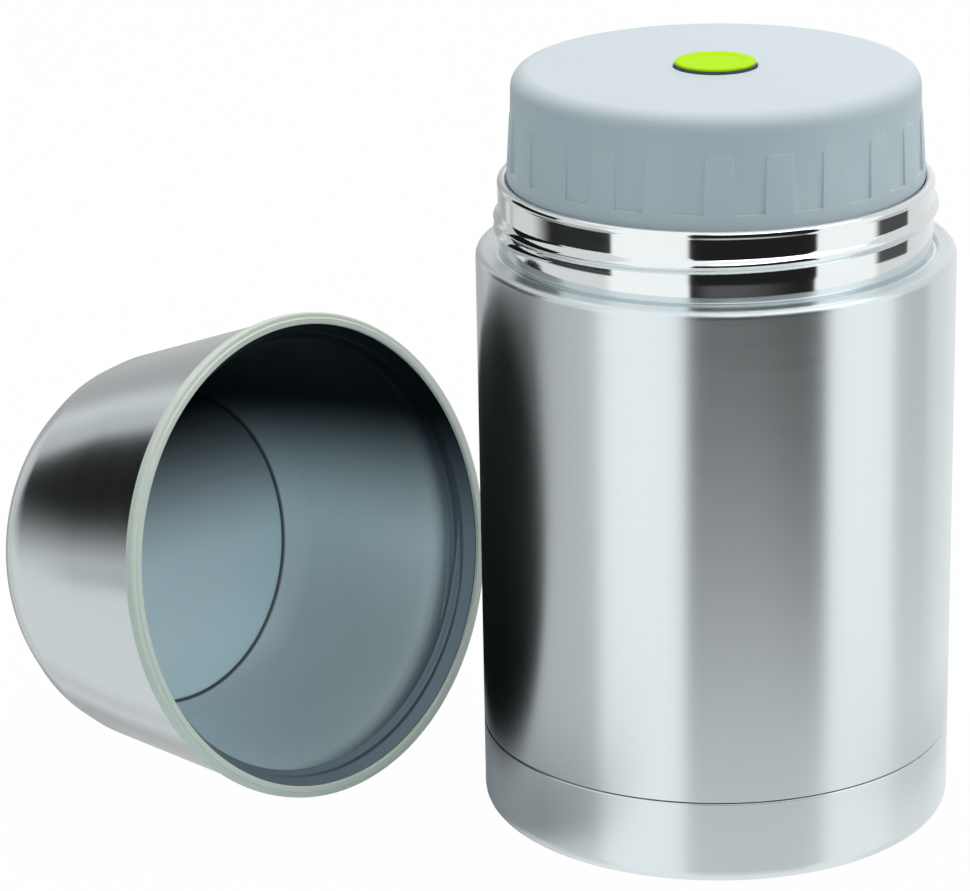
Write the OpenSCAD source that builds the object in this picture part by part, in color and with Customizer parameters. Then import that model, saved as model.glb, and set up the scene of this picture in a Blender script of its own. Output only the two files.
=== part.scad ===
// Insulated food jar: a double-walled steel jar, a screw-in stopper lid with a
// push-button pressure valve, and a double-walled dome cup that lies beside it.
// The origin is the centre of the jar's foot, +Z is up, lengths are in millimetres.

/* [Body] */
// Outer diameter of the jar
body_d = 100; // [90:1:115]
// Height of the shoulder ledge above the table
shoulder_h = 123.4; // [105:0.1:150]
// Thickness of the outer shell and of the base cup
shell_wall = 0.8; // [0.6:0.1:1]
// Radius of the shoulder's outer edge
shoulder_edge_r = 1.5; // [1:0.1:2.5]
// Height of the base cup, up to the seam
base_cup_h = 18.2; // [16:0.1:23]
// Radius of the edge between the base cup's wall and its foot
base_edge_r = 3; // [2:0.1:4]
// Width of the flat ring that the jar stands on
foot_w = 9; // [6:0.5:12]
// How far the middle of the base is raised off the table
base_lift = 1.2; // [0.8:0.1:1.5]

/* [Mouth] */
// Width of the shoulder, from the body's wall to the neck's wall
shoulder_w = 4.8; // [4:0.1:6]
// Height of the lip's top above the shoulder
mouth_rise = 15.1; // [13:0.1:18]
// Thickness of the neck's wall
neck_wall = 0.8; // [0.6:0.1:1]
// Thickness of the rolled lip
lip_t = 2.2; // [2:0.1:2.6]
// Width of the groove between the shoulder ledge and the neck
groove_w = 0.8; // [0.5:0.1:1.2]
// How far the neck's outer thread stands off its wall
neck_thread_rise = 1; // [0.7:0.1:1.2]
// Width of the neck's outer thread at its root
neck_thread_w = 3; // [2.4:0.1:3.4]
// Lead of the neck's outer thread and of the cup's thread
neck_lead = 4.8; // [4.2:0.1:6]

/* [Flask] */
// Thickness of the inner flask
flask_wall = 0.6; // [0.5:0.1:0.8]
// Gap between the outer shell and the inner flask
vacuum_gap = 2.7; // [2.2:0.1:4]
// Height of the flask's inner floor above the table
flask_floor_h = 13.4; // [12.6:0.1:18]
// Radius between the flask's floor and its wall
flask_corner_r = 12; // [6:0.5:18]
// How far the flask's waist reaches in from its neck bore
waist_in = 2.1; // [1.7:0.1:3]

/* [Lid] */
// Height of the lid above its skirt's lower edge
lid_h = 22.6; // [17:0.1:24]
// How far the skirt stays inside the neck's outer wall
lid_inset = 1.9; // [1.4:0.05:2.4]
// How much narrower the lid is at the top of its wall
lid_taper = 0.5; // [0.4:0.05:1.2]
// Radius of the lid's top edge
lid_edge_r = 3.7; // [3:0.1:6]
// How much the lid's top rises towards its middle
lid_crown = 0.2; // [0.2:0.1:1]
// Thickness of the lid's wall
lid_wall = 2; // [1.6:0.1:2.3]
// Height of the plain band below the grip ribs
band_h = 2.4; // [1.5:0.1:4]
// Height of the grip ribs
rib_h = 11.7; // [8:0.1:12.5]
// Number of grip ribs
rib_count = 22; // [12:1:28]
// Width of a grip rib at its foot
rib_w = 5.8; // [4:0.1:8]
// How far the ribs and the band stand off the lid's wall
rib_rise = 0.6; // [0.3:0.05:0.9]

/* [Plug] */
// Length of the plug's threaded tube below the skirt
plug_h = 18.6; // [16:0.1:24]
// Thickness of the plug's wall
plug_wall = 2; // [1.6:0.1:2.6]
// Lead of the stopper thread, which has two starts
plug_lead = 12; // [10:0.5:14]
// How far the plug's thread stands off its wall
plug_thread_rise = 0.8; // [0.6:0.05:1]
// Width of the stopper threads at their roots
plug_thread_w = 2.4; // [1.8:0.1:2.6]
// Height of the sealing gasket
gasket_h = 2.7; // [2:0.1:4]
// Width of the sealing gasket
gasket_w = 3.2; // [2.6:0.1:4]
// Thickness of the plug's bottom disc above its rim
bottom_t = 1.5; // [1:0.1:2.2]
// Thickness of the bottom disc's rim, which carries the gasket
bottom_rim_t = 1.2; // [1:0.1:2]

/* [Valve] */
// Diameter of the push button
button_d = 16.7; // [14:0.1:20]
// How far the button stands above the lid, which is also its travel
button_stand = 1; // [0.8:0.1:2.6]
// Height of the dark ring that shows under the button's cap
button_ring_h = 0.5; // [0.4:0.1:0.6]
// Depth of the button's carrier below the lid's top
carrier_depth = 9.5; // [8:0.1:12]
// Wall of the button's carrier and of its guide
carrier_wall = 1.3; // [1:0.1:1.8]
// Diameter of the valve stem
stem_d = 4; // [3:0.1:5]
// Length of the valve spring at rest
spring_l = 10; // [8:0.1:12]
// Outer diameter of the valve spring
spring_d = 10; // [8.4:0.1:11]
// Thickness of the spring's wire
spring_wire = 0.8; // [0.6:0.05:0.9]
// Turns of the valve spring
spring_turns = 4.5; // [3:0.5:6]
// Diameter of the valve's rubber disc
valve_seal_d = 14; // [11:0.5:20]
// Thickness of the valve's rubber disc
valve_seal_t = 2; // [1.5:0.1:3]

/* [Cup] */
// How far the cup's ring stands out past the jar's wall
cup_overhang = 2.6; // [1.6:0.1:3.5]
// Height of the cup from its rim to its end
cup_h = 67.5; // [58:0.5:80]
// How much narrower the cup's radius is at its end, before the corner is rounded
cup_taper = 11.5; // [9:0.1:14]
// Radius of the cup's end corner
cup_corner_r = 26.5; // [14:0.5:28]
// Thickness of the cup's outer shell
cup_wall = 0.7; // [0.6:0.1:1]
// Height of the cup's rim ring
ring_h = 3; // [2.4:0.1:4]
// Width of the cup's rim ring
ring_w = 3.1; // [2.6:0.1:3.8]
// Depth of the cup's inside
liner_h = 49; // [44:0.5:52]
// Height of the slope between the liner's wall and its floor
liner_slope_h = 6; // [4:0.5:9]
// Radius of the bend between the liner's wall and that slope
liner_bend_r = 5; // [2:0.5:8]
// Distance between the jar's wall and the middle of the cup's rim
cup_stand_off = 36.1; // [30:0.1:60]
// Bearing of the cup from the jar, from +X towards +Y
cup_bearing = 176.75; // [150:0.25:200]
// Direction in which the lying cup's end points, from +Y towards -X
cup_heading = 50.5; // [30:0.1:60]

/* [Hidden] */
$fn = 96;

// Gaps: pieces of one body, pieces that move past each other, and soft faces at their seats
fit_gap = 0.1;
run_gap = 0.3;
seat_gap = 0.3;
// How deep threads and joined solids reach into each other
bite = 0.3;

// Colours
brushed_steel = [0.62, 0.66, 0.69];
polished_steel = [0.78, 0.80, 0.82];
inner_steel = [0.55, 0.58, 0.60];
bright_foil = [0.80, 0.81, 0.83];
lid_grey = [0.80, 0.84, 0.87];
plug_white = [0.90, 0.91, 0.92];
foam_white = [0.95, 0.94, 0.90];
seal_clear = [0.86, 0.88, 0.88];
lime = [0.72, 0.90, 0.10];
slate = [0.27, 0.33, 0.38];
ring_ivory = [0.80, 0.83, 0.77];

// Radii of the jar, from the outside in
body_r = body_d / 2;
shell_in_r = body_r - shell_wall;
swage_r = shell_in_r - fit_gap;
neck_r = body_r - shoulder_w;
ledge_r = neck_r + groove_w;
collar_foot_w = 1.5;
lip_r = lip_t / 2;
lip_stand = 0.1;
lip_mid_r = neck_r + lip_stand - lip_r;
bore_r = lip_mid_r - lip_r;
waist_r = bore_r - waist_in;
flask_r = shell_in_r - vacuum_gap - flask_wall;
recess_r = body_r - base_edge_r - foot_w;
getter_r = 5;
getter_t = 2;
evacuation_r = 4;

// Radii of the lid, which follow the neck
lid_r = neck_r - lid_inset;
lid_wall_r = lid_r - rib_rise;
rib_turn = 1;
plug_r = bore_r - run_gap - plug_thread_rise;
plug_in_r = plug_r - plug_wall;
plug_collar_step = 0.7;
plug_collar_r = plug_r - plug_collar_step;
seat_r = plug_r - gasket_w - run_gap;
spigot_wall = 1.6;
spigot_in_r = seat_r - spigot_wall;
bottom_rim_r = waist_r - 2 * run_gap;
button_r = button_d / 2;
dish_share = 0.72;
button_hole_r = button_r + run_gap;
guide_r = button_hole_r + carrier_wall;
stem_r = stem_d / 2;
stem_hole_r = stem_r + run_gap;
boss_r = spring_d / 2 + run_gap;

// Heights of the jar
seam_w = 0.3;
seam_edge_r = 0.2;
mouth_h = shoulder_h + mouth_rise;
collar_foot_h = shoulder_h - shell_wall;
flask_top_h = mouth_h - 2 * lip_r - fit_gap;
spacer_gap_h = flask_floor_h - flask_wall;
vacuum_floor_gap = 3;
vacuum_base_h = spacer_gap_h - vacuum_floor_gap - shell_wall;
vacuum_flange_h = 4;

// Heights of the lid
skirt_h = mouth_h + seat_gap;
lid_top_h = skirt_h + lid_h;
lid_edge_h = lid_top_h - lid_crown;
rib_foot_h = skirt_h + band_h;
rib_top_h = rib_foot_h + rib_h;
tube_foot_h = skirt_h - plug_h;
collar_h = 5;
spigot_h = 3;
gasket_foot_h = tube_foot_h - run_gap - gasket_h;
plug_foot_h = gasket_foot_h - bottom_rim_t;
bottom_top_h = gasket_foot_h + bottom_t;
waist_top_h = gasket_foot_h - seat_gap * sqrt(2);
waist_flat_h = 1;
waist_foot_h = waist_top_h - waist_flat_h;
flask_shoulder_h = waist_foot_h - (flask_r - waist_r);

// Heights of the valve
button_top_h = lid_top_h + button_stand;
button_ring_top_h = lid_top_h + button_ring_h;
carrier_foot_h = lid_top_h - carrier_depth;
carrier_floor_t = 2;
carrier_floor_h = carrier_foot_h + carrier_floor_t;
guide_share = 0.75;
guide_foot_h = carrier_foot_h - guide_share * button_stand;
boss_top_h = carrier_foot_h - spring_l;
valve_seal_top_h = plug_foot_h - fit_gap;
valve_seal_foot_h = valve_seal_top_h - valve_seal_t;
clip_t = 1.2;
clip_w = 2.4;
stem_tail = 1;
stem_foot_h = valve_seal_foot_h - clip_t - stem_tail;
stem_head_w = 1.2;
stem_head_t = 1.2;

// Thread places: the stopper's ridges run half a pitch under the flask's
stopper_starts = 2;
stopper_sweep = 200;
stopper_pitch = plug_lead / stopper_starts;
thread_margin = 3;
plug_thread_h = tube_foot_h + thread_margin;
flask_thread_h = plug_thread_h + stopper_pitch / 2;
crest_share = 0.42;
neck_thread_lift = 4.5;
neck_thread_h = shoulder_h + neck_thread_lift;
neck_upper_turn = [150, 410];
neck_lower_turn = [10, 230];
ridge_step = 6;
ridge_fade_turn = 30;
ridge_fade_share = 0.2;

// The cup's own frame: its rim lies at zero and its end at cup_h along +Z
cup_ring_r = body_r + cup_overhang;
cup_mouth_r = cup_ring_r - ring_w;
ring_edge_r = 1;
ring_lip_t = 1;
ring_rebate = 0.8;
cup_shell_step = 0.8;
cup_rim_r = cup_ring_r - cup_shell_step;
cup_end_r = cup_rim_r - cup_taper;
liner_wall = 0.6;
liner_thread_rise = 1.1;
liner_thread_w = 2;
liner_flare_h = 4;
liner_neck_h = 11.5;
liner_neck_r = neck_r + neck_thread_rise + 2 * run_gap + fit_gap;
cup_slope = cup_taper / (cup_h - ring_h);
liner_slope_foot_h = liner_h - liner_slope_h;
liner_wall_r = liner_neck_r - cup_slope * (liner_slope_foot_h - liner_neck_h);
liner_floor_r = liner_wall_r - liner_slope_h;
liner_thread_foot = 4.4;
liner_sweep = 220;

// The cup rests on the edge of its ring and on its end corner, which gives its tilt
end_dir = unit([cup_end_r - cup_rim_r, cup_h - ring_h]);
end_half = acos(-end_dir * [-1, 0]) / 2;
corner_mid = [cup_end_r, cup_h]
    + unit(-end_dir + [-1, 0]) * cup_corner_r / sin(end_half);
edge_mid = [cup_ring_r - ring_edge_r, ring_h - ring_edge_r];
edge_to_corner = corner_mid - edge_mid;
cup_tilt = atan2(-edge_to_corner[0], edge_to_corner[1])
    - asin((cup_corner_r - ring_edge_r) / norm(edge_to_corner));
cup_rest_h = edge_mid[1] * sin(cup_tilt) + edge_mid[0] * cos(cup_tilt) + ring_edge_r;
cup_place_r = body_r + cup_stand_off;
cup_place = [cup_place_r * cos(cup_bearing), cup_place_r * sin(cup_bearing), cup_rest_h];

function unit(v) = v / norm(v);

// A corner of an outline, rounded with radius r where the neighbours leave room
corner_steps = 6;
function rounded_corner(p, before, after, r) =
    r <= 0 ? [p] :
    let (
        u = unit(before - p),
        v = unit(after - p),
        half = acos(u * v) / 2,
        reach = min(r / tan(half), norm(before - p) / 2, norm(after - p) / 2),
        fitted = reach * tan(half),
        mid = p + unit(u + v) * fitted / sin(half),
        from = p + u * reach - mid,
        a = atan2(from[1], from[0]),
        cross_uv = u[0] * v[1] - u[1] * v[0],
        turn = (180 - 2 * half) * (cross_uv > 0 ? -1 : 1)
    )
    [for (i = [0 : corner_steps])
        mid + fitted * [cos(a + turn * i / corner_steps), sin(a + turn * i / corner_steps)]];

// An outline from [x, y, corner radius] triples
function outline(corners) = let (n = len(corners)) [
    for (i = [0 : n - 1])
        let (
            c = corners[i],
            b = corners[(i + n - 1) % n],
            a = corners[(i + 1) % n]
        )
        each rounded_corner([c[0], c[1]], [b[0], b[1]], [a[0], a[1]], c[2])
];

// A turned piece from its outline, given as [radius, height, corner radius] triples
module turned(corners) {
    rotate_extrude() polygon(outline(corners));
}

// A closed skin over rings of points, with its ends capped
module skin(rings) {
    n = len(rings[0]);
    last = len(rings) - 1;
    polyhedron(
        points = [for (ring = rings) each ring],
        faces = concat(
            [[for (j = [0 : n - 1]) j]],
            [for (i = [0 : last - 1], j = [0 : n - 1])
                let (k = (j + 1) % n) each [
                    [i * n + j, (i + 1) * n + j, (i + 1) * n + k],
                    [i * n + j, (i + 1) * n + k, i * n + k]
                ]],
            [[for (j = [n - 1 : -1 : 0]) last * n + j]]
        )
    );
}

// A helical thread ridge that fades into its wall at both ends.
// It stands out from wall_r by rise, or inwards where rise is negative.
module ridge(wall_r, rise, width, lead, foot, turn) {
    way = sign(rise);
    root_r = wall_r - way * bite;
    tall = rise + way * bite;
    count = ceil((turn[1] - turn[0]) / ridge_step);
    fade = ridge_fade_turn / ridge_step;
    half = way * width / 2;
    skin([
        for (i = [0 : count])
            let (
                a = turn[0] + (turn[1] - turn[0]) * i / count,
                z = foot + lead * a / 360,
                share = min(1, max(ridge_fade_share, min(i, count - i) / fade)),
                crest_r = root_r + tall * share,
                crest_half = half * crest_share
            )
            [for (p = [[root_r, half], [crest_r, crest_half], [crest_r, -crest_half], [root_r, -half]])
                [p[0] * cos(a), p[0] * sin(a), z + p[1]]]
    ]);
}

// A round wire wound into an open coil
module coil(mid_r, wire_r, foot, top, turns) {
    sides = 8;
    turn_steps = 20;
    count = ceil(turns * turn_steps);
    skin([
        for (i = [0 : count])
            let (a = 360 * turns * i / count, z = foot + (top - foot) * i / count)
            [for (j = [0 : sides - 1])
                let (b = -360 * j / sides, r = mid_r + wire_r * cos(b))
                [r * cos(a), r * sin(a), z + wire_r * sin(b)]]
    ]);
}

// Jar

module outer_shell() {
    foot = vacuum_base_h;
    step_h = base_cup_h + seam_w;
    color(brushed_steel) turned([
        [swage_r, foot, 0],
        [swage_r, base_cup_h, 0],
        [body_r, step_h, seam_edge_r],
        [body_r, shoulder_h, shoulder_edge_r],
        [ledge_r, shoulder_h, seam_edge_r],
        [ledge_r, shoulder_h - shell_wall, 0],
        [shell_in_r, shoulder_h - shell_wall, shoulder_edge_r - shell_wall],
        [shell_in_r, step_h + shell_wall, 0],
        [swage_r - shell_wall, base_cup_h + shell_wall, 0],
        [swage_r - shell_wall, foot, 0]
    ]);
}

module mouth_collar() {
    foot_r = ledge_r + collar_foot_w;
    color(polished_steel) union() {
        turned([
            [foot_r, collar_foot_h - neck_wall, 0],
            [foot_r, collar_foot_h, 0],
            [neck_r, collar_foot_h, groove_w / 2],
            [neck_r, mouth_h - lip_r, 0],
            [neck_r - neck_wall, mouth_h - lip_r, 0],
            [neck_r - neck_wall, collar_foot_h - neck_wall, 0]
        ]);
        rotate_extrude() translate([lip_mid_r, mouth_h - lip_r]) circle(r = lip_r);
        for (turn = [neck_upper_turn, neck_lower_turn])
            ridge(neck_r, neck_thread_rise, neck_thread_w, neck_lead,
                neck_thread_h - (turn == neck_lower_turn ? neck_lead / 2 : 0), turn);
    }
}

module inner_flask() {
    wall = flask_wall;
    // Where a wall at 45 degrees meets an upright one, its outer corner shifts by this much
    shift = wall * tan(45 / 2);
    color(inner_steel) union() {
        turned([
            [0, flask_floor_h, 0],
            [flask_r, flask_floor_h, flask_corner_r],
            [flask_r, flask_shoulder_h, waist_in],
            [waist_r, waist_foot_h, 0],
            [waist_r, waist_top_h, 0],
            [bore_r, waist_top_h + waist_in, 0],
            [bore_r, flask_top_h, 0],
            [bore_r + wall, flask_top_h, 0],
            [bore_r + wall, waist_top_h + waist_in - shift, 0],
            [waist_r + wall, waist_top_h - shift, 0],
            [waist_r + wall, waist_foot_h + shift, 0],
            [flask_r + wall, flask_shoulder_h + shift, waist_in + wall],
            [flask_r + wall, flask_floor_h - wall, flask_corner_r + wall],
            [0, flask_floor_h - wall, 0]
        ]);
        for (i = [0 : stopper_starts - 1])
            rotate(360 * i / stopper_starts)
                ridge(bore_r, -plug_thread_rise, plug_thread_w, plug_lead,
                    flask_thread_h, [0, stopper_sweep]);
    }
}

module radiation_foil() {
    foil_t = 0.2;
    r = flask_r + flask_wall + fit_gap;
    foot = flask_floor_h + flask_corner_r;
    top = flask_shoulder_h - waist_in - flask_wall;
    color(bright_foil) turned([
        [r, foot, 0],
        [r, top, 0],
        [r + foil_t, top, 0],
        [r + foil_t, foot, 0]
    ]);
}

module vacuum_base() {
    rim_r = swage_r - shell_wall - fit_gap;
    floor_top_h = vacuum_base_h + shell_wall;
    color(inner_steel) difference() {
        turned([
            [0, vacuum_base_h, 0],
            [rim_r, vacuum_base_h, shell_wall],
            [rim_r, vacuum_base_h + vacuum_flange_h, 0],
            [rim_r - shell_wall, vacuum_base_h + vacuum_flange_h, 0],
            [rim_r - shell_wall, floor_top_h, 0],
            [0, floor_top_h, 0]
        ]);
        translate([0, 0, vacuum_base_h - shell_wall])
            cylinder(r = evacuation_r / 2, h = 3 * shell_wall);
    }
}

module getter() {
    place_r = flask_r / 2;
    color(polished_steel) translate([place_r, 0, vacuum_base_h + shell_wall])
        cylinder(r = getter_r, h = getter_t);
}

module evacuation_seal() {
    color(polished_steel) turned([
        [0, vacuum_base_h - shell_wall, 0],
        [evacuation_r, vacuum_base_h - shell_wall, 0],
        [evacuation_r, vacuum_base_h, 0],
        [evacuation_r / 2 - fit_gap, vacuum_base_h, 0],
        [evacuation_r / 2 - fit_gap, vacuum_base_h + shell_wall, 0],
        [0, vacuum_base_h + shell_wall, 0]
    ]);
}

module base_cup() {
    wall = shell_wall;
    color(brushed_steel) turned([
        [0, base_lift, 0],
        [recess_r - base_lift, base_lift, 0],
        [recess_r, 0, 0],
        [body_r, 0, base_edge_r],
        [body_r, base_cup_h, seam_edge_r],
        [shell_in_r, base_cup_h, 0],
        [shell_in_r, wall, base_edge_r - wall],
        [recess_r + wall / 2, wall, 0],
        [recess_r - base_lift + wall / 2, base_lift + wall, 0],
        [0, base_lift + wall, 0]
    ]);
}

module base_spacer() {
    outer_r = recess_r - base_lift;
    inner_r = evacuation_r * 2;
    foot = base_lift + shell_wall;
    color(foam_white) turned([
        [inner_r, foot, 0],
        [outer_r, foot, 0],
        [outer_r, vacuum_base_h, 0],
        [inner_r, vacuum_base_h, 0]
    ]);
}

// Lid

module lid_cap() {
    in_r = plug_collar_r + fit_gap;
    roof_h = lid_edge_h - lid_wall;
    top_r = lid_wall_r - lid_taper / 2;
    color(lid_grey) union() {
        turned([
            [in_r, skirt_h, 0],
            [lid_r, skirt_h, seam_edge_r * 2],
            [lid_r, rib_foot_h, seam_edge_r],
            [lid_wall_r, rib_foot_h, 0],
            [top_r, lid_edge_h, lid_edge_r],
            [button_hole_r, lid_top_h, seam_edge_r],
            [button_hole_r, guide_foot_h, 0],
            [guide_r, guide_foot_h, 0],
            [guide_r, roof_h, 0],
            [in_r, roof_h, lid_edge_r - lid_wall]
        ]);
        grip_ribs();
    }
}

module grip_ribs() {
    top_w = rib_w - lid_taper;
    rib_top_rise = rib_rise / 2;
    back = lid_wall / 2;
    top_r = lid_wall_r - lid_taper / 2;
    intersection() {
        turned([
            [lid_wall_r - back, rib_foot_h - seam_edge_r * 2, 0],
            [lid_r, rib_foot_h - seam_edge_r * 2, 0],
            [top_r + rib_top_rise, rib_top_h, 0],
            [lid_wall_r - back, rib_top_h, 0]
        ]);
        for (i = [0 : rib_count - 1])
            rotate([90, 0, 360 * i / rib_count + rib_turn])
                linear_extrude(height = body_r)
                    polygon([
                        [-rib_w / 2, skirt_h],
                        [rib_w / 2, skirt_h],
                        [top_w / 2, rib_top_h],
                        [-top_w / 2, rib_top_h]
                    ]);
    }
}

module lid_plug() {
    color(plug_white) union() {
        turned([
            [plug_in_r, tube_foot_h, 0],
            [plug_r, tube_foot_h, seam_edge_r],
            [plug_r, skirt_h, 0],
            [plug_collar_r, skirt_h, 0],
            [plug_collar_r, skirt_h + collar_h, 0],
            [plug_in_r, skirt_h + collar_h, 0]
        ]);
        for (i = [0 : stopper_starts - 1])
            rotate(360 * i / stopper_starts)
                ridge(plug_r, plug_thread_rise, plug_thread_w, plug_lead,
                    plug_thread_h, [0, stopper_sweep]);
    }
}

module plug_bottom() {
    spigot_r = plug_in_r - fit_gap;
    color(plug_white) turned([
        [stem_hole_r, plug_foot_h, 0],
        [bottom_rim_r, plug_foot_h, seam_edge_r * 2],
        [bottom_rim_r, gasket_foot_h, 0],
        [seat_r, gasket_foot_h, 0],
        [seat_r, tube_foot_h, 0],
        [spigot_r, tube_foot_h, 0],
        [spigot_r, tube_foot_h + spigot_h, 0],
        [spigot_in_r, tube_foot_h + spigot_h, 0],
        [spigot_in_r, bottom_top_h, 0],
        [boss_r, bottom_top_h, 0],
        [boss_r, boss_top_h, 0],
        [stem_hole_r, boss_top_h, 0]
    ]);
}

module lid_foam() {
    outer_r = spigot_in_r - 2 * run_gap;
    inner_r = boss_r + run_gap;
    top = min(skirt_h, boss_top_h - run_gap);
    color(foam_white) turned([
        [inner_r, bottom_top_h, 0],
        [outer_r, bottom_top_h, 0],
        [outer_r, top, 0],
        [inner_r, top, 0]
    ]);
}

module lid_gasket() {
    inner_r = plug_r - gasket_w;
    chamfer = plug_r - waist_r;
    color(seal_clear) turned([
        [inner_r, gasket_foot_h, 0],
        [waist_r, gasket_foot_h, 0],
        [plug_r, gasket_foot_h + chamfer, 0],
        [plug_r, gasket_foot_h + gasket_h, 0],
        [inner_r, gasket_foot_h + gasket_h, 0]
    ]);
}

// Valve

module push_button() {
    dish_r = button_r * dish_share;
    dish_depth = button_ring_h / 3;
    skirt_r = button_r - carrier_wall - fit_gap;
    skirt_in_r = skirt_r - carrier_wall;
    skirt_foot_h = carrier_floor_h + stem_head_t + run_gap;
    cap_t = button_stand - button_ring_h;
    plate_foot_h = button_top_h - carrier_wall;
    color(lime) turned([
        [0, button_top_h - dish_depth, 0],
        [dish_r, button_top_h - dish_depth, 0],
        [dish_r + dish_depth, button_top_h, 0],
        [button_r, button_top_h, cap_t / 2],
        [button_r, button_ring_top_h, 0],
        [skirt_r, button_ring_top_h, 0],
        [skirt_r, skirt_foot_h, 0],
        [skirt_in_r, skirt_foot_h, 0],
        [skirt_in_r, plate_foot_h, 0],
        [0, plate_foot_h, 0]
    ]);
}

module button_carrier() {
    in_r = button_r - carrier_wall;
    color(slate) turned([
        [stem_r + fit_gap, carrier_foot_h, 0],
        [button_r, carrier_foot_h, seam_edge_r * 2],
        [button_r, button_ring_top_h, 0],
        [in_r, button_ring_top_h, 0],
        [in_r, carrier_floor_h, 0],
        [stem_r + fit_gap, carrier_floor_h, 0]
    ]);
}

module valve_stem() {
    color(polished_steel) turned([
        [0, stem_foot_h, 0],
        [stem_r, stem_foot_h, seam_edge_r * 2],
        [stem_r, carrier_floor_h, 0],
        [stem_r + stem_head_w, carrier_floor_h, 0],
        [stem_r + stem_head_w, carrier_floor_h + stem_head_t, seam_edge_r],
        [0, carrier_floor_h + stem_head_t, 0]
    ]);
}

module valve_spring() {
    wire_r = spring_wire / 2;
    end = wire_r + fit_gap / 2;
    color(polished_steel)
        coil(spring_d / 2 - wire_r, wire_r, boss_top_h + end, carrier_foot_h - end, spring_turns);
}

module valve_seal() {
    color(slate) turned([
        [stem_r + fit_gap, valve_seal_foot_h, 0],
        [valve_seal_d / 2, valve_seal_foot_h, seam_edge_r * 2],
        [valve_seal_d / 2, valve_seal_top_h, 0],
        [stem_r + fit_gap, valve_seal_top_h, 0]
    ]);
}

module stem_clip() {
    top = valve_seal_foot_h;
    color(polished_steel) turned([
        [stem_r + fit_gap, top - clip_t, 0],
        [stem_r + clip_w, top - clip_t, seam_edge_r],
        [stem_r + clip_w, top, 0],
        [stem_r + fit_gap, top, 0]
    ]);
}

// Cup

module lying_cup() {
    translate(cup_place) rotate([-(90 + cup_tilt), 0, cup_heading]) children();
}

module cup_shell() {
    // The wall leans, so its level width is a little more than its thickness
    level_w = cup_wall * norm([1, cup_slope]);
    in_rim_r = cup_rim_r - level_w;
    in_end_r = cup_end_r - level_w + cup_slope * cup_wall;
    color(brushed_steel) lying_cup() turned([
        [cup_rim_r, ring_h, 0],
        [cup_end_r, cup_h, cup_corner_r],
        [0, cup_h, 0],
        [0, cup_h - cup_wall, 0],
        [in_end_r, cup_h - cup_wall, cup_corner_r - cup_wall],
        [in_rim_r, ring_h, 0]
    ]);
}

module cup_liner() {
    flare_r = cup_mouth_r + fit_gap / 2;
    flare_foot_h = ring_lip_t + fit_gap;
    wall = liner_wall;
    // Where a wall at 45 degrees meets another, its outer corner shifts by this much
    shift = wall * tan(45 / 2);
    color(inner_steel) lying_cup() union() {
        turned([
            [flare_r, flare_foot_h, 0],
            [liner_neck_r, liner_flare_h, 0],
            [liner_neck_r, liner_neck_h, 0],
            [liner_wall_r, liner_slope_foot_h, liner_bend_r],
            [liner_floor_r, liner_h, seam_edge_r],
            [0, liner_h, 0],
            [0, liner_h + wall, 0],
            [liner_floor_r + shift, liner_h + wall, 0],
            [liner_wall_r + wall, liner_slope_foot_h + shift, liner_bend_r + wall],
            [liner_neck_r + wall, liner_neck_h, 0],
            [liner_neck_r + wall, liner_flare_h + wall / 2, 0],
            [flare_r + wall, flare_foot_h + wall / 2, 0],
            [flare_r + wall, flare_foot_h, 0]
        ]);
        for (i = [0 : stopper_starts - 1])
            rotate(360 * i / stopper_starts)
                ridge(liner_neck_r, -liner_thread_rise, liner_thread_w, neck_lead,
                    liner_thread_foot, [0, liner_sweep]);
    }
}

module cup_ring() {
    color(ring_ivory) lying_cup() turned([
        [cup_mouth_r, 0, ring_edge_r / 2],
        [cup_ring_r, 0, ring_edge_r],
        [cup_ring_r, ring_h, ring_edge_r],
        [cup_mouth_r + ring_rebate, ring_h, 0],
        [cup_mouth_r + ring_rebate, ring_lip_t, 0],
        [cup_mouth_r, ring_lip_t, 0]
    ]);
}

outer_shell();
mouth_collar();
inner_flask();
radiation_foil();
vacuum_base();
getter();
evacuation_seal();
base_cup();
base_spacer();
lid_cap();
lid_plug();
plug_bottom();
lid_foam();
lid_gasket();
push_button();
button_carrier();
valve_stem();
valve_spring();
valve_seal();
stem_clip();
cup_shell();
cup_liner();
cup_ring();
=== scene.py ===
"""An insulated food jar with its stopper lid and cup, dressed around its CAD model."""

import math

import bmesh
import bpy
from mathutils import Matrix, Vector


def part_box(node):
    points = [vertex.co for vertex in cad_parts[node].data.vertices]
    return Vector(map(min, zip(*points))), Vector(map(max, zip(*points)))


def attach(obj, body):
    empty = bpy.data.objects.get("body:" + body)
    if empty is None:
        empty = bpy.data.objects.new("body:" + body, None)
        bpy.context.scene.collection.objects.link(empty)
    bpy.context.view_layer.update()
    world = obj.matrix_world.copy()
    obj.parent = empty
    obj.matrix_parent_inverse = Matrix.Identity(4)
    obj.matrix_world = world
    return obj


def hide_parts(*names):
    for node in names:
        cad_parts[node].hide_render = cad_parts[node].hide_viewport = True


bl_info = {
    "name": "Insulated food jar",
    "version": (1, 0, 0),
    "blender": (4, 5, 0),
    "location": "View3D > Sidebar > Food jar",
    "description": "Models and finishes a steel food jar, its stopper lid and its cup",
    "category": "Object",
}

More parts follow.
